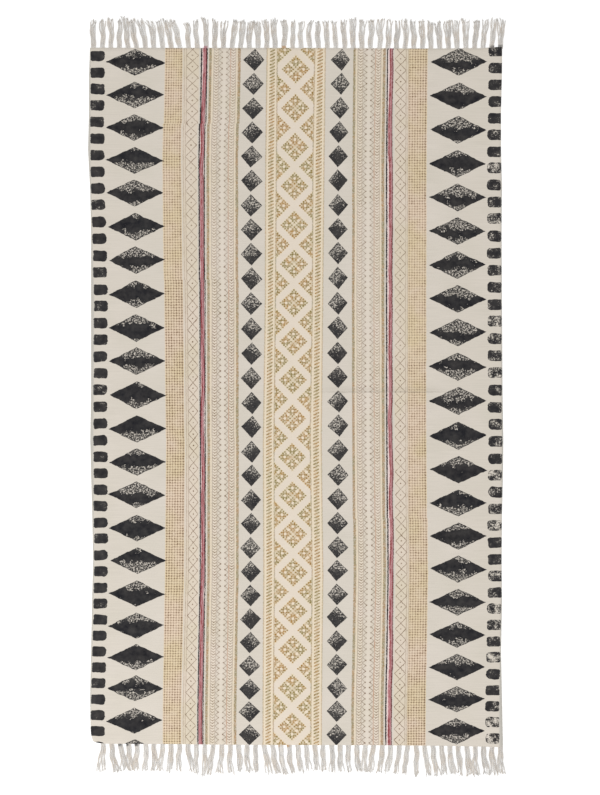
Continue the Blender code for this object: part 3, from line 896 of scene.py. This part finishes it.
def tassel_plan(table, first, last, seed):
    """Root, tip, bow and length of every lock: the table read straight between its rows, with
    seeded chance added to each length and a seeded bow."""
    tassels = np.arange(TASSELS)
    chance = np.random.default_rng(seed)
    roots = first + (last - first) * tassels / (TASSELS - 1)
    lean, spread, length = (
        np.interp(tassels, table[:, 0], table[:, column]) for column in (1, 2, 3))
    length = length + LENGTH_SCATTER * chance.uniform(-1, 1, TASSELS)
    bow = BOW * chance.uniform(-1, 1, TASSELS)
    place = np.arange(LOCKS) - (LOCKS - 1) / 2
    root = roots[:, None] + place * LOCK_PITCH
    tip = (roots + lean)[:, None] + place * spread[:, None] / LOCKS
    reach = length[:, None] + LOCK_SCATTER * chance.uniform(-1, 1, (TASSELS, LOCKS))
    return root.ravel(), tip.ravel(), np.repeat(bow, LOCKS), reach.ravel(), chance


def tubes(middle, radius, sides):
    """Round tubes along many paths that run mostly along Y: circles in upright planes, joined
    from station to station, and drawn to a point at both ends. The first corner of a circle is
    at its foot. Returns points, quads, triangles and each point's turn round its tube."""
    paths, stations, _ = middle.shape
    angle = 2 * np.pi * np.arange(sides) / sides - np.pi / 2
    circle = np.stack((np.cos(angle), np.zeros(sides), np.sin(angle)), axis=-1)
    rings = middle[:, :, None, :] + radius[:, :, None, None] * circle
    number = np.arange(paths * stations * sides).reshape(paths, stations, sides)
    following = np.roll(number, -1, axis=2)
    quads = np.stack((number[:, :-1], number[:, 1:], following[:, 1:], following[:, :-1]), axis=-1)
    start = number.size + np.arange(paths)
    stop = start + paths
    first_fan = np.stack((np.repeat(start[:, None], sides, 1), number[:, 0], following[:, 0]), -1)
    last_fan = np.stack((np.repeat(stop[:, None], sides, 1), following[:, -1], number[:, -1]), -1)
    points = np.concatenate((rings.reshape(-1, 3), middle[:, 0], middle[:, -1]))
    turn = np.concatenate((
        np.broadcast_to(np.arange(sides) / sides, number.shape).ravel(), np.zeros(2 * paths)
    ))
    triangles = np.concatenate((first_fan.reshape(-1, 3), last_fan.reshape(-1, 3)))
    return points, quads.reshape(-1, 4), triangles, turn


def per_point(values, sides):
    """Values per station of every tube, as values per point in the order that tubes gives."""
    return np.concatenate((
        np.repeat(values[:, :, None], sides, axis=2).ravel(), values[:, 0], values[:, -1]
    ))


def lock_path(root, tip, bow, away):
    """Sideways place of a lock: it swings from root to tip as a power of the distance from the
    cloth, with a sine bow on the way."""
    share = np.maximum(away, 0) / REACH
    swung = (tip - root) * share**SWING_POWER
    return root + swung + bow * np.sin(np.pi * np.minimum(share, 1))


def build_fringe(name, node_name, table, first, last, side, seed, runs, yarn):
    """All yarns of one fringe, their frayed plies and stray fibres, as one closed-tube mesh."""
    root, tip, bow, length, chance = tassel_plan(table, first, last, seed)
    root, tip, bow, length = (
        np.repeat(values, YARNS)[:, None] for values in (root, tip, bow, length))
    count = len(root)
    length = length + chance.uniform(-8.5, -3.5, (count, 1))
    share = np.linspace(0, 1, YARN_STATIONS)[None, :]
    away = -INTO_CLOTH + share * (length + INTO_CLOTH)
    begin = np.repeat(2 * np.pi * chance.uniform(0, 1, count // YARNS), YARNS)[:, None]
    begin = begin + np.tile(2 * np.pi * np.arange(YARNS) / YARNS, count // YARNS)[:, None]
    twist = begin + 2 * np.pi * away / YARN_TWIST
    loose = 0.9 + 1.2 * share**2
    x = lock_path(root, tip, bow, away) + loose * np.cos(twist)
    x = x + chance.uniform(-3.0, 3.0, (count, 1)) * share**2
    x = x + 0.35 * np.sin(away / 5.5 + 6 * chance.uniform(0, 1, (count, 1))) * share
    group = YARNS * LOCKS
    swing = np.repeat(chance.uniform(-2.2, 2.2, (count // group, 1)), group, axis=0)
    phase = np.repeat(chance.uniform(0, 2 * np.pi, (count // group, 1)), group, axis=0)
    x = x + swing * np.sin(away / 11.0 + phase) * np.clip(away / 25.0, 0, 1)
    # The yarns leave the cloth at half its thickness, drawn tight, and swell beyond it
    swell = np.clip(away / 9.0, 0, 1)
    z = CLOTH_THICKNESS / 2 + 0.5 * swell
    z = z + 0.3 * np.sin(twist) * swell * (1 - 0.6 * share**3) - 0.1 * share**2
    y = end_edge(root, side) + side * away
    radius = YARN_RADIUS * (1 - 0.45 * share**8) * chance.uniform(0.88, 1.08, (count, 1))
    radius = radius * (0.75 + 0.25 * swell)
    middle = np.stack((x, y, z), axis=-1)
    lock_tone = np.repeat(chance.uniform(0, 1, count // YARNS), YARNS)[:, None]
    tone = 0.5 * lock_tone + 0.5 * chance.uniform(0, 1, (count, 1))
    parts = [(middle, radius, YARN_SIDES, away, np.repeat(tone, YARN_STATIONS, 1))]

    # Three plies fray out of each yarn's tip
    plies = np.repeat(np.arange(count), PLIES)
    step = np.linspace(0, 1, PLY_STATIONS)[None, :]
    reach = chance.uniform(4.0, 9.0, (plies.size, 1))
    fan = chance.uniform(-2.4, 2.4, (plies.size, 1))
    from_tip = middle[plies, -2][:, None, :]
    heading = middle[plies, -1] - middle[plies, -3]
    heading = (heading / np.linalg.norm(heading, axis=1, keepdims=True))[:, None, :]
    path = from_tip + heading * (step * reach)[:, :, None]
    path[:, :, 0] += fan * step**1.5
    path[:, :, 2] = np.maximum(from_tip[:, :, 2] - 0.7 * step, 0.75)
    parts.append((path, PLY_RADIUS * (1 - 0.7 * step**2) * np.ones(reach.shape), LOOSE_SIDES,
                  away[plies, -1:] + step * reach, np.repeat(tone[plies], PLY_STATIONS, 1)))

    # Stray fibres stand away from the tassels' sides
    strays = np.repeat(np.arange(0, count, group), FIBRES)
    step = np.linspace(0, 1, FIBRE_STATIONS)[None, :]
    station = chance.integers(4, YARN_STATIONS - 2, strays.size)
    from_yarn = middle[strays, station][:, None, :]
    room = (length[strays, 0] + 6.0 - away[strays, station])[:, None]
    reach = np.minimum(chance.uniform(8.0, 20.0, (strays.size, 1)), room)
    drift_out = chance.uniform(-9.0, 9.0, (strays.size, 1))
    path = from_yarn + np.stack((
        drift_out * step**1.6 + 0.9 * np.sin(step * 7 + 6 * drift_out),
        side * reach * step, -0.9 * step * np.ones(reach.shape)), axis=-1)
    path[:, :, 2] = np.maximum(path[:, :, 2], 0.3)
    fibre_tone = np.repeat(chance.uniform(0, 1, (strays.size, 1)), FIBRE_STATIONS, 1)
    parts.append((path, FIBRE_RADIUS * (1 - 0.5 * step) * np.ones(reach.shape), LOOSE_SIDES,
                  away[strays, station][:, None] + reach * step, fibre_tone))

    points = []
    faces = []
    layers = {"yarn_turn": [], "yarn_along": [], "yarn_tone": []}
    before = 0
    for path, size, sides, distance, tone in parts:
        tube_points, quads, triangles, turn = tubes(path, size, sides)
        if side < 0:
            quads = quads[:, ::-1]
            triangles = triangles[:, ::-1]
        points.append(tube_points)
        faces += (quads + before).tolist() + (triangles + before).tolist()
        layers["yarn_turn"].append(turn)
        layers["yarn_along"].append(per_point(distance, sides))
        layers["yarn_tone"].append(per_point(tone, sides))
        before += len(tube_points)
    points = np.concatenate(points)
    fringe = add_mesh(name, points * MM, faces, yarn)
    for ink in ("black_run", "ochre_run", "rose_run"):
        soaked = sum((np.exp(-((points[:, 0] - place) / width) ** 2)
                      for kind, place, width in runs if kind == ink), np.zeros(len(points)))
        layers[ink] = [soaked]
    for layer_name, values in layers.items():
        layer = fringe.data.attributes.new(layer_name, "FLOAT", "POINT")
        layer.data.foreach_set("value", np.concatenate(values).astype(np.float32))
    fringe.data.polygons.foreach_set("use_smooth", np.ones(len(faces), dtype=bool))
    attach(fringe, "root")
    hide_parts(node_name)
    return fringe


# Soft undyed cotton yarn, loosely plied: matt and a little fluffy, with painted shade on each
# yarn's sides and underside and along its slanting twist, and print that has soaked into a few
# roots
yarn, tree = empty_material("Soft plied cotton yarn")
turn = node("Attribute", attribute_name="yarn_turn").outputs["Fac"]
along = node("Attribute", attribute_name="yarn_along").outputs["Fac"]
tone = node("Attribute", attribute_name="yarn_tone").outputs["Fac"]
place = node("TexCoord").outputs["Object"]
PLY_PITCH = 8.4               # a yarn turns once every 8.4 mm, so its two plies show every 4.2 mm
FLUFF = 900.0                 # tufts to a metre: coarser than real fibres, so that they show
GRIME = 38.0                  # stains to a metre
ply = node("Math MULTIPLY_ADD", along, 2 / PLY_PITCH, turn)
ply = node("Math MULTIPLY", ply, np.pi)
ply = node("Math SINE", ply)
ply = node("Math ABSOLUTE", ply)
fluff = node("TexNoise", place, None, FLUFF, 2.0, 0.6)
grime = node("TexNoise", place, None, GRIME, 2.0, 0.5)
yarn_colour = node("MixRGB", tone, linear("C6C1BB"), linear("E9E5DF"))
beige = node("MapRange", grime, 0.42, 0.65, 0.0, 0.55)
yarn_colour = node("MixRGB", beige, yarn_colour, linear("D2C5B6"))
# Painted shade: each yarn is lightest along its top and darker down its sides and underside, and a
# little darker between its plies
upper = node("Math MULTIPLY", turn, 2 * np.pi)
upper = node("Math MULTIPLY", node("Math COSINE", upper), -1.0)
shade = node("MapRange", upper, -0.1, 0.8, 0.62, 1.0)
ply_shade = node("MapRange", ply, 0.0, 0.7, 0.9, 1.0)
shade = node("Math MULTIPLY", shade, ply_shade)
yarn_colour = node("VectorMath MULTIPLY", yarn_colour, shade)
fade = node("Math MULTIPLY_ADD", fluff, 8.0, 1.5)
fade = node("Math SUBTRACT", fade, along)
fade = node("Math MULTIPLY", fade, 0.4, use_clamp=True)
for ink, colour in (("black_run", "37373A"), ("ochre_run", "BE8F50"), ("rose_run", "A9596A")):
    soaked = node("Attribute", attribute_name=ink).outputs["Fac"]
    soaked = node("Math MULTIPLY", soaked, fade)
    soaked = node("Math MULTIPLY", soaked, 0.9)
    yarn_colour = node("MixRGB", soaked, yarn_colour, linear(colour))
relief = node("Math MULTIPLY_ADD", fluff, 0.8, ply)
bump = node("Bump", 0.3, 0.0004)
tree.links.new(relief.outputs[0], bump.inputs["Height"])
shader = node("BsdfPrincipled", yarn_colour, 0.0, 0.95)
shader.inputs["Specular IOR Level"].default_value = 0.2
shader.inputs["Sheen Weight"].default_value = 0.1
tree.links.new(bump.outputs["Normal"], shader.inputs["Normal"])
node("OutputMaterial", shader)

# Where ink has run into the roots: its place across the cloth and how far it spread
HEAD_RUNS = (("black_run", 437, 14), ("rose_run", -199, 5), ("ochre_run", -27, 7))
FOOT_RUNS = (("black_run", -385, 4), ("black_run", -370, 4), ("black_run", -350, 5),
             ("ochre_run", -41, 4), ("ochre_run", -20, 5))
# Where the first and the last tassel's roots are across the cloth
HEAD_SPAN = (-443.3, 446.0)
FOOT_SPAN = (-422.0, 446.0)
head_fringe = build_fringe("fringe_at_head", "fringe_head", HEAD_TASSELS, *HEAD_SPAN, 1, 11,
                           HEAD_RUNS, yarn)
foot_fringe = build_fringe("fringe_at_foot", "fringe_foot", FOOT_TASSELS, *FOOT_SPAN, -1, 12,
                           FOOT_RUNS, yarn)
